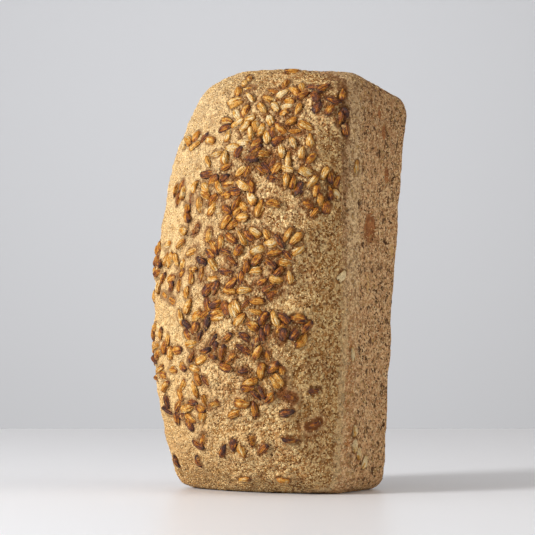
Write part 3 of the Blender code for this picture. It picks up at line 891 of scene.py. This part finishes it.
class Finish:
    """A material with short calls for the nodes that a food finish needs."""

    def __init__(self, name):
        self.material = bpy.data.materials.new(name)
        self.material.use_nodes = True
        self.tree = self.material.node_tree
        self.shader = self.tree.nodes["Principled BSDF"]
        metres = self.add("ShaderNodeTexCoord")["Object"]
        self.millimetres = self.vector("SCALE", {0: metres, "Scale": 1000.0})

    def add(self, kind, inputs=None, **settings):
        """A new node's outputs."""
        return add_node(self.tree, kind, inputs, **settings)

    def vector(self, operation, inputs):
        """Arithmetic on two vectors."""
        return self.add("ShaderNodeVectorMath", inputs, operation=operation)["Vector"]

    def stretched(self, *factors):
        """Coordinates scaled by a factor along each axis."""
        return self.vector("MULTIPLY", {0: self.millimetres, 1: factors})

    def cloud(self, size, detail=3.0, place=None):
        """Soft noise with features of a size in millimetres."""
        inputs = {"Scale": 1.0 / size, "Detail": detail, "Vector": place or self.millimetres}
        return self.add("ShaderNodeTexNoise", inputs)["Fac"]

    def cells(self, size, place=None):
        """Cells of a size in millimetres: how far off a cell's middle is, and the cell's random number."""
        cell = self.add("ShaderNodeTexVoronoi", {"Scale": 1.0 / size, "Vector": place or self.millimetres})
        return cell["Distance"], self.add("ShaderNodeSeparateColor", {"Color": cell["Color"]})["Red"]

    def layer(self, name, output="Fac"):
        """A number that is stored on the mesh, or a vector."""
        return self.add("ShaderNodeAttribute", attribute_name=name)[output]

    def spot(self, middle, half_sizes):
        """How near a point is to the middle of an oval, from 0 at its rim to 1, in millimetres."""
        away = self.vector("SUBTRACT", {0: self.millimetres, 1: middle})
        away = self.vector("DIVIDE", {0: away, 1: half_sizes})
        length = self.add("ShaderNodeVectorMath", {0: away}, operation="LENGTH")["Value"]
        return self.ramp(length, 1.0, 0.0)

    def ramp(self, value, low, high, out_low=0.0, out_high=1.0):
        """A value carried from one range to another, and kept inside it."""
        return add_ramp(self.tree, value, low, high, out_low, out_high)

    def math(self, operation, *values):
        """Arithmetic from left to right on sockets and numbers."""
        return add_math(self.tree, operation, *values)

    def times(self, *values):
        """The values multiplied, as where several conditions have to hold."""
        return self.math("MULTIPLY", *values)

    def rest(self, value):
        """What a value leaves of 1."""
        return self.math("SUBTRACT", 1.0, value)

    def mix(self, share, first, second):
        """A blend of two colours, each a socket or screen values."""
        inputs = {"Factor": share}
        for socket, shade in ((6, first), (7, second)):
            inputs[socket] = colour(*shade) if isinstance(shade, tuple) else shade
        return self.add("ShaderNodeMix", inputs, data_type="RGBA")[2]

    def coats(self, base, *coats):
        """Coats laid over a colour one by one: pairs of a share and a colour."""
        for share, shade in coats:
            base = self.mix(share, base, shade)
        return base

    def stops(self, value, stops):
        """Colours along a value: pairs of a position and screen values."""
        node = self.tree.nodes.new("ShaderNodeValToRGB")
        ramp = node.color_ramp
        while len(ramp.elements) < len(stops):
            ramp.elements.new(1.0)
        for element, (position, shade) in zip(ramp.elements, stops):
            element.position = position
            element.color = colour(*shade)
        self.tree.links.new(value, node.inputs["Fac"])
        return node.outputs["Color"]

    def bump(self, height, depth, under=None):
        """Relief from a value, with the depth in metres that a value of 1 stands for."""
        inputs = {"Distance": depth, "Height": height}
        if under is not None:
            inputs["Normal"] = under
        return self.add("ShaderNodeBump", inputs)["Normal"]

    def paint(self, sources, **numbers):
        """The finished material: what its shader's inputs read, and those that are the same all over."""
        for socket, source in sources.items():
            self.tree.links.new(source, self.shader.inputs[socket])
        for socket, value in numbers.items():
            self.shader.inputs[socket.replace("_", " ")].default_value = value
        return self.material


# %% [markdown]
# ### Crust
# The dome is sandpaper in tan: cream and brown grains side by side, pale on the left, darker and coarser on
# the right, brown in some blotches, and stained round the kernels that sank. The pale left and the darker
# right are partly the crust's own colour and partly painted light and painted shade. The tin's walls are
# plainer and pinker, and pricked with pores that run a little lengthwise, their insides darkened with
# painted shade. A smooth greyish band lies just under the shoulder, where steam kept the dough off the tin.
# Low down the shoulder's lip is pale, with an orange streak beside it, and higher up a crease darkened with
# painted shadow takes its place. A thin line of painted contact shadow runs round each kernel. All borders
# are frayed by noise, because no border on bread is a clean curve.


# %% Marks on the wall
MARK_REACH = 20.0  # half depth of the ovals across the wall, in millimetres
# Each mark: up from the tin's bottom, along the loaf, half size upwards and half size along, in millimetres.
BROWN_MARKS = {
    "where the crust tore": (38.5, 135.8, 7.2, 9.6),
    "near the head": (30.0, 187.5, 2.6, 4.4),
    "lower down": (23.0, 165.7, 3.2, 5.0),
    "by the lip": (36.0, 196.0, 2.0, 3.4),
}
PALE_MARKS = {
    "oval by the tin's corner": (12.4, 126.6, 2.4, 4.6),
    "yellow streak": (38.0, 106.6, 1.5, 5.5),
}
HOLES = {
    "by the lip": (53.4, 146.6, 1.8, 3.4),
    "above the torn patch": (34.0, 176.0, 1.4, 3.6),
    "low on the wall": (20.0, 106.0, 1.6, 2.4),
}


def wall_place(up, along):
    """The middle of a mark on the +X wall, in millimetres."""
    slope_cos, slope_sin = math.cos(END_SLOPE), math.sin(END_SLOPE)
    y = along * slope_sin - up * slope_cos
    upright = along * slope_cos + up * slope_sin
    across = 1000.0 * BASE_WIDTH / 2.0
    x = across * math.cos(SIDE_LEAN) + upright * math.sin(SIDE_LEAN)
    z = upright * math.cos(SIDE_LEAN) - across * math.sin(SIDE_LEAN)
    shift = [1000.0 * part for part in STANDING_SHIFT]
    return (x + shift[0], y + shift[1], z + shift[2])


def marks_of(finish, marks):
    """One value for a group of marks, highest in their middles."""
    spots = []
    for up, along, half_up, half_along in marks.values():
        spots.append(finish.spot(wall_place(up, along), (MARK_REACH, half_up, half_along)))
    return finish.math("MAXIMUM", *spots)


torn_middle = wall_place(*BROWN_MARKS["where the crust tore"][:2])
print("torn patch at", [round(part, 1) for part in torn_middle], "mm")


# %% Patterns that the crust's colours share
CRUST_CLOUDS = {
    # size in millimetres and detail
    "broad": (34.0, 2.0),
    "crowd": (14.0, 2.0),
    "scorch": (12.0, 3.0),
    "patch": (9.0, 3.0),
    "blotch": (7.0, 4.0),
    "mottle": (3.4, 3.0),
    "torn": (3.2, 2.0),
    "fray": (3.0, 3.0),
    "ragged": (2.2, 3.0),
    "dust": (0.45, 2.0),
}
CRUST_CELLS = {"fleck": 2.3, "coarse": 1.5, "fine": 0.85}  # sizes in millimetres
CRUST_LAYERS = ("rise", "near", "stain", "right")
WALL_GRAIN = (1.0, 0.65, 0.95)  # the wall's grains are stretched by one over these
PORE_GRAIN = (1.0, 0.72, 0.92)
# The paler left side is partly the crust's own colour and partly painted light from the lamp on the left.
PALE_AND_LIT_LEFT_SPAN = (18.0, -38.0)  # where the dome's paler left side starts and is full, in millimetres
MATT = 0.15  # how much of a usual gloss dry crust has


def crust_patterns():
    """The crust's material, and the values that its colours share."""
    finish = Finish("crust")
    seen = {name: finish.cloud(*settings) for name, settings in CRUST_CLOUDS.items()}
    seen.update({name: finish.layer(name) for name in CRUST_LAYERS})
    for name, size in CRUST_CELLS.items():
        seen[name + " away"], seen[name] = finish.cells(size)
    place = finish.add("ShaderNodeSeparateXYZ", {"Vector": finish.millimetres})
    seen["across"], seen["up"] = place["X"], place["Z"]
    seen["left"] = finish.ramp(place["X"], *PALE_AND_LIT_LEFT_SPAN)
    seen["rise"] = finish.math("ADD", seen["rise"], finish.ramp(seen["fray"], 0.3, 0.7, -0.8, 0.8))
    seen["dome"] = finish.ramp(seen["rise"], -0.7, 0.6)
    seen["ragged"] = finish.ramp(seen["ragged"], 0.3, 0.7, -0.35, 0.35)
    seen["below lip"] = finish.ramp(seen["rise"], -0.6, -2.0)
    under_lip = finish.ramp(seen["rise"], -6.5, -4.5)
    seen["band"] = finish.times(under_lip, seen["below lip"], seen["right"])
    return finish, seen


# %% The dome's colour
def dome_colour(finish, seen):
    """Tan, with coats of grains, blotches, painted light and shade on the loaf's sides, and stains."""
    ramp, times = finish.ramp, finish.times
    # left is the paler side, partly painted light; right is the darker side, partly painted shade.
    left, right = seen["left"], finish.rest(seen["left"])
    fewer = ramp(left, 0.0, 1.0, 1.0, 0.55)
    low_left = times(ramp(seen["up"], 50.0, 12.0, 0.0, 0.54), ramp(left, 0.2, 0.7))
    collar = times(ramp(seen["near"], 0.15, 0.6), ramp(seen["near"], 0.95, 0.7, 0.0, 0.35))
    return finish.coats(
        finish.mix(ramp(seen["broad"], 0.38, 0.62), (205, 154, 94), (195, 142, 94)),
        # paler left side: partly the crust's own colour, partly painted light
        (times(left, 0.85), (226, 199, 149)),  # pale left side
        (ramp(seen["blotch"], 0.42, 0.70, 0.0, 0.65), (162, 105, 46)),  # brown blotches
        (ramp(seen["mottle"], 0.47, 0.36, 0.0, 0.5), (148, 93, 26)),  # small brown and cream patches
        (ramp(seen["mottle"], 0.53, 0.66, 0.0, 0.5), (238, 204, 152)),
        (times(ramp(seen["coarse"], 0.0, 0.38, 0.55, 0.0), fewer), (122, 70, 10)),  # coarse grains
        (ramp(seen["coarse"], 0.62, 1.0, 0.0, 0.5), (242, 212, 160)),
        (times(ramp(seen["fine"], 0.0, 0.35, 0.45, 0.0), fewer), (106, 58, 6)),  # fine grains
        (ramp(seen["fine"], 0.75, 1.0, 0.0, 0.4), (244, 216, 168)),
        (ramp(seen["rise"], 3.2, 0.4, 0.0, 0.35), (124, 80, 42)),  # browner towards the shoulder
        # more of the paler left side: painted light together with the crust's own colour
        (times(left, 0.3), (238, 206, 146)),
        # tan again at the far left: less of the painted light there
        (ramp(seen["across"], -24.0, -48.0, 0.0, 0.42), (186, 142, 90)),  # tan again at the far left
        (ramp(seen["up"], 110.0, 60.0, 0.0, 0.2), (218, 168, 96)),  # warmer below the middle
        (low_left, (152, 102, 50)),
        (times(ramp(seen["up"], 120.0, 195.0, 0.0, 0.62), left), (206, 178, 136)),  # greyer at the head
        # darker right side: partly the crust's own colour, partly painted shade of the side turned from the
        # light
        (times(right, 0.23), (116, 76, 34)),  # darker right side
        (times(ramp(seen["scorch"], 0.50, 0.62, 0.0, 0.55), right), (130, 84, 42)),
        (times(ramp(seen["fine"], 0.0, 0.4, 0.9, 0.0), right), (84, 43, 8)),  # its stronger grains
        (times(ramp(seen["coarse"], 0.66, 1.0, 0.0, 0.65), right), (250, 220, 160)),
        (times(ramp(seen["fine"], 0.74, 1.0, 0.0, 0.5), right), (250, 222, 162)),
        (times(seen["stain"], 0.8), (122, 68, 32)),  # stains of sunk kernels
        (collar, (238, 204, 146)),  # dough that climbs round a kernel
    )


# %% The wall's pores and colour
def wall_pores(finish, seen):
    """Where the wall has a pore or a hole, and the raised rims of the smallest pores."""
    ramp, times = finish.ramp, finish.times
    grain = finish.stretched(*PORE_GRAIN)
    prick_away, prick_draw = finish.cells(1.7, grain)
    inside = finish.math("SUBTRACT", times(ramp(prick_draw, 0.25, 1.0), 0.34), prick_away)
    rims = finish.math("SUBTRACT", ramp(inside, -0.22, -0.04), ramp(inside, -0.04, 0.02))
    small = ramp(finish.cloud(1.5, 1.5, grain), 0.62, 0.64)
    pits = ramp(finish.cloud(3.2, 3.0, grain), 0.62, 0.635)
    pores = finish.math("MAXIMUM", ramp(inside, -0.02, 0.06), small, pits)
    pores = times(pores, ramp(seen["crowd"], 0.35, 0.6, 0.7, 1.0), finish.rest(times(seen["band"], 0.6)))
    holes = ramp(finish.math("ADD", marks_of(finish, HOLES), seen["ragged"]), 0.25, 0.4)
    return times(finish.math("MAXIMUM", pores, holes), finish.rest(seen["dome"])), rims


def wall_colour(finish, seen, pores, rims):
    """Plain crust, with coats of the band, the streak, grains, marks, and painted shade in pores and at the
    head.
    """
    ramp, times = finish.ramp, finish.times
    grain = finish.stretched(*WALL_GRAIN)
    _, crumb = finish.cells(1.3, grain)
    _, speck = finish.cells(0.75, grain)
    narrow = times(ramp(seen["rise"], -4.6, -3.6), seen["below lip"], seen["right"])
    streak = times(ramp(seen["patch"], 0.42, 0.56), narrow, ramp(seen["up"], 112.0, 85.0), 0.6)
    torn = finish.mix(ramp(seen["torn"], 0.4, 0.6), (164, 106, 62), (136, 84, 48))
    brown = finish.math("ADD", marks_of(finish, BROWN_MARKS), times(seen["ragged"], 0.6))
    pale = ramp(finish.math("ADD", marks_of(finish, PALE_MARKS), seen["ragged"]), 0.15, 0.3)
    return finish.coats(
        finish.mix(ramp(seen["blotch"], 0.35, 0.66), (208, 164, 118), (180, 132, 88)),
        (times(seen["band"], ramp(seen["up"], 80.0, 115.0, 0.0, 0.7)), (216, 186, 142)),  # greyish band
        (streak, (176, 112, 56)),
        (ramp(seen["mottle"], 0.45, 0.36, 0.0, 0.5), (126, 82, 42)),  # small brown and cream patches
        (ramp(seen["mottle"], 0.55, 0.66, 0.0, 0.45), (220, 184, 132)),
        (ramp(crumb, 0.62, 1.0, 0.0, 0.5), (230, 200, 154)),  # grains
        (ramp(speck, 0.0, 0.36, 0.65, 0.0), (104, 60, 16)),
        (ramp(speck, 0.72, 1.0, 0.0, 0.65), (238, 210, 166)),
        # darker at the head: partly the crust's own colour, partly painted shade
        (ramp(seen["up"], 160.0, 205.0, 0.0, 0.34), (112, 74, 44)),  # darker at the head
        (times(rims, 0.35), (232, 200, 150)),
        # pores and holes: their dark colour is painted shade inside them
        (times(pores, 0.95), (66, 36, 14)),
        (ramp(brown, 0.04, 0.14, 0.0, 0.5), (104, 66, 36)),  # brown marks, their rims first
        (ramp(brown, 0.14, 0.20, 0.0, 0.9), torn),
        (times(pale, 0.75), (202, 164, 104)),
    )


# %% The crust's finish
def crust_finish():
    """Dome and wall joined at the shoulder, with its lip, painted crease shadow, flecks and the fine relief.
    """
    finish, seen = crust_patterns()
    ramp, times = finish.ramp, finish.times
    pores, rims = wall_pores(finish, seen)
    lip = times(ramp(seen["rise"], -1.9, -1.0), ramp(seen["rise"], 0.4, -0.5), seen["right"])
    flecks = times(ramp(seen["fleck"], 0.92, 0.94), ramp(seen["fleck away"], 0.3, 0.2), 0.8)
    base = finish.coats(
        wall_colour(finish, seen, pores, rims),
        (seen["dome"], dome_colour(finish, seen)),
        (times(lip, ramp(seen["up"], 118.0, 95.0, 0.0, 0.5)), (220, 190, 140)),  # pale lip
        # dark crease: painted shadow in the crease
        (times(lip, ramp(seen["up"], 100.0, 200.0, 0.0, 0.85)), (108, 70, 38)),  # dark crease
        # a thin dark line round each kernel: painted contact shadow, and browning where crust meets kernel
        (ramp(seen["near"], 0.93, 1.0, 0.0, 0.55), (104, 60, 22)),  # a thin dark line round each kernel
        (flecks, (92, 58, 40)),
    )
    grains = times(ramp(seen["coarse away"], 0.0, 0.7, 1.0, 0.0), ramp(seen["rise"], -1.5, 1.0, 0.5, 1.0))
    dusty = finish.bump(seen["dust"], 0.0006)
    pebbled = finish.bump(grains, 0.0011, dusty)
    pricked = finish.bump(finish.rest(pores), 0.0012, pebbled)
    sources = {
        "Base Color": base,
        "Roughness": ramp(seen["dust"], 0.3, 0.7, 0.7, 0.92),
        "Normal": pricked,
    }
    return finish.paint(sources, Specular_IOR_Level=MATT)


crust.data.materials.append(crust_finish())
print("crust finish:", len(crust.data.materials[0].node_tree.nodes), "nodes")


# %% [markdown]
# ### Toasted kernels and bran
# A kernel browns from its seam and its ends inwards, and its oil leaves a sheen. The same ramp of colours
# runs from raw cream through amber and brown to a purplish black, and each kernel's roast says where on it
# the kernel is. Where it meets the crust, painted contact shadow darkens it. Low down, and in patches, a
# skin of dough covers it. A grain of bran has one plain shade, which its own random number picks.


# %% The kernels' finish and the bran's
ROAST_COLOURS = (
    (0.00, (228, 204, 156)),
    (0.20, (212, 162, 78)),
    (0.40, (188, 120, 20)),
    (0.58, (140, 74, 8)),
    (0.76, (92, 46, 24)),
    (0.95, (60, 36, 30)),
)
BRAN_SHADES = {
    "cream bran": ((208, 168, 106), (224, 190, 130), (238, 208, 150), (246, 224, 174)),
    "brown bran": ((106, 64, 10), (140, 91, 24), (168, 118, 46), (192, 147, 78)),
}


def kernel_finish():
    """One finish for all kinds, as each kernel carries its own roast."""
    finish = Finish("toasted kernels")
    ramp = finish.ramp
    blotch = finish.cloud(2.4, 3.0)
    fibre = finish.cloud(1.0, 3.0, finish.layer("fibre", "Vector"))
    done = finish.math(
        "ADD",
        finish.layer("roast"),
        ramp(blotch, 0.3, 0.7, -0.20, 0.20),
        ramp(finish.layer("rim"), 0.1, 1.0, 0.0, 0.36),
        ramp(fibre, 0.3, 0.7, -0.24, 0.24),
    )
    low = finish.math("ADD", finish.layer("out"), ramp(finish.cloud(1.5, 3.0), 0.3, 0.7, -0.3, 0.3))
    grainy = ramp(finish.cloud(0.7, 2.0), 0.38, 0.62)
    skin = finish.times(ramp(finish.cloud(3.6, 2.0), 0.54, 0.64), ramp(low, 0.62, 0.20))
    base = finish.coats(
        finish.stops(done, ROAST_COLOURS),
        # the dark colour where a kernel meets the crust is painted contact shadow
        (ramp(low, 0.22, 0.02, 0.0, 0.85), (64, 32, 8)),  # scorched where it meets the crust
        (skin, finish.mix(grainy, (132, 84, 34), (214, 172, 106))),
    )
    sources = {
        "Base Color": base,
        "Roughness": ramp(blotch, 0.3, 0.7, 0.42, 0.68),
        "Normal": finish.bump(fibre, 0.0013, finish.bump(grainy, 0.0003)),
    }
    return finish.paint(sources, Specular_IOR_Level=0.32, Coat_Weight=0.06, Coat_Roughness=0.25)


def bran_finish(name, shades):
    """Shades in even steps along the random number that each grain carries."""
    finish = Finish(name)
    steps = [(number / (len(shades) - 1), shade) for number, shade in enumerate(shades)]
    sources = {
        "Base Color": finish.stops(finish.layer("shade"), steps),
        "Roughness": finish.ramp(finish.cloud(0.8, 1.0), 0.3, 0.7, 0.7, 0.9),
    }
    return finish.paint(sources, Specular_IOR_Level=MATT)


toasted = kernel_finish()
for piece in kernel_pieces:
    piece.data.materials.append(toasted)
for piece, (name, shades) in zip(bran_pieces, BRAN_SHADES.items()):
    piece.data.materials.append(bran_finish(name, shades))
print("finishes:", [material.name for material in bpy.data.materials])

# %% [markdown]
# ## Studio
# A plain white table ends some way behind the loaf, with a pale grey wall beyond it. A raised soft light on
# the left shapes the dome, and a broad warm one on the right keeps the tin's wall readable. One more washes
# the grey wall, one hangs over the table, and the world fills in the rest.

# %% Camera
FRAME_PIXELS = 535
VIEW_TURN = 0.5355
VIEW_TILT = -0.0145
VIEW_DISTANCE = 1.3775
VIEW_ASIDE = -0.0190
VIEW_HEIGHT = 0.1177
PIXELS_PER_METRE = 1852.0
SENSOR_WIDTH = 36.0
FARTHEST_SEEN = 20.0

side_way = Vector((math.cos(VIEW_TURN), math.sin(VIEW_TURN), 0.0))
level_way = Vector((-math.sin(VIEW_TURN), math.cos(VIEW_TURN), 0.0))
straight_up = Vector((0.0, 0.0, 1.0))
view_way = level_way * math.cos(VIEW_TILT) - straight_up * math.sin(VIEW_TILT)
view_up = straight_up * math.cos(VIEW_TILT) + level_way * math.sin(VIEW_TILT)
aim = side_way * VIEW_ASIDE + straight_up * VIEW_HEIGHT + Vector(STANDING_SHIFT)

camera_data = bpy.data.cameras.new("camera")
camera_data.sensor_width = SENSOR_WIDTH
camera_data.lens = SENSOR_WIDTH * PIXELS_PER_METRE * VIEW_DISTANCE / FRAME_PIXELS
camera_data.clip_end = FARTHEST_SEEN
camera = put_in_scene("camera", camera_data)
turn = Matrix((side_way, view_up, -view_way)).transposed().to_4x4()
camera.matrix_world = Matrix.Translation(aim - view_way * VIEW_DISTANCE) @ turn
bpy.context.scene.camera = camera
print("lens:", round(camera_data.lens, 1), "mm")
print("camera height:", round(camera.matrix_world.translation.z, 3), "m")

# %% Table and wall
TABLE_BEHIND = 0.67
TABLE_HALF_DEPTH = 2.0
WALL_BEHIND = 2.2
STAGE_WIDTH = 5.0
STAGE_GLOSS = 0.35


def make_stage(name, middle, half_width, half_depth, out_way):
    """A flat sheet that faces up where it runs away from the camera, and the camera where it runs up."""
    shape = bmesh.new()
    bmesh.ops.create_grid(shape, x_segments=1, y_segments=1, size=1.0)
    face_way = side_way.cross(out_way)
    axes = Matrix((side_way * half_width, out_way * half_depth, face_way)).transposed().to_4x4()
    bmesh.ops.transform(shape, matrix=Matrix.Translation(middle) @ axes, verts=shape.verts)
    mesh = bpy.data.meshes.new(name)
    shape.to_mesh(mesh)
    shape.free()
    return put_in_scene(name, mesh)


def plain_finish(name, shade, roughness):
    """A finish of one colour, for the stage."""
    finish = Finish(name)
    return finish.paint({}, Specular_IOR_Level=STAGE_GLOSS, Base_Color=colour(*shade), Roughness=roughness)


table_middle = level_way * (TABLE_BEHIND - TABLE_HALF_DEPTH)
table = make_stage("table", table_middle, STAGE_WIDTH, TABLE_HALF_DEPTH, level_way)
table.data.materials.append(plain_finish("white table", (232, 234, 239), 0.38))
wall = make_stage("wall", level_way * WALL_BEHIND, STAGE_WIDTH, STAGE_WIDTH, straight_up)
wall.data.materials.append(plain_finish("grey wall", (197, 200, 206), 0.9))
print("table's far edge:", TABLE_BEHIND, "m behind the loaf, wall:", WALL_BEHIND, "m behind it")

# %% Lights
LOAF_MIDDLE = (0.0, 0.0, 0.11)
LIGHTS = {
    # place and target as metres to the camera's right, away from it and up, then size, watts and tint
    "key": ((-1.25, -0.7, 0.58), LOAF_MIDDLE, 0.4, 30.0, (1.0, 0.99, 0.97)),
    "fill": ((1.5, -0.6, 0.6), LOAF_MIDDLE, 1.2, 13.0, (1.0, 0.94, 0.85)),
    "wall wash": ((-0.05, 1.0, 0.33), (-0.1, WALL_BEHIND, 0.33), 1.0, 9.8, (1.0, 1.0, 1.0)),
    "over the table": ((-0.6, -0.2, 2.2), (-0.3, -0.1, 0.0), 2.0, 16.5, (0.98, 0.98, 1.0)),
}
WORLD_TINT = (1.0, 0.87, 0.73, 1.0)
WORLD_STRENGTH = 0.185


def studio_place(right, back, up):
    """A place in the studio: metres to the camera's right, away from the camera, and up."""
    return side_way * right + level_way * back + straight_up * up


def area_light(name, place, target, size, power, tint):
    """A square soft light, looking at a point."""
    light = bpy.data.lights.new(name, "AREA")
    light.shape = "SQUARE"
    light.size = size
    light.energy = power
    light.color = tint
    thing = put_in_scene(name, light)
    thing.location = studio_place(*place)
    look = studio_place(*target) - studio_place(*place)
    thing.rotation_euler = look.to_track_quat("-Z", "Y").to_euler()


for name, settings in LIGHTS.items():
    area_light(name, *settings)

world = bpy.data.worlds.new("studio")
world.use_nodes = True
world.node_tree.nodes["Background"].inputs["Color"].default_value = WORLD_TINT
world.node_tree.nodes["Background"].inputs["Strength"].default_value = WORLD_STRENGTH
bpy.context.scene.world = world
bpy.context.scene.view_settings.view_transform = "Standard"
print("lights:", list(LIGHTS))

# %% [markdown]
# ## Ride and replace
# Every piece rides on the loaf's one body, the crust stands for the imported solid, and the table and the
# wall are stage.

# %% Ride and replace
for piece in (crust, *bran_pieces, *kernel_pieces):
    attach(piece, "root")
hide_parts("loaf")
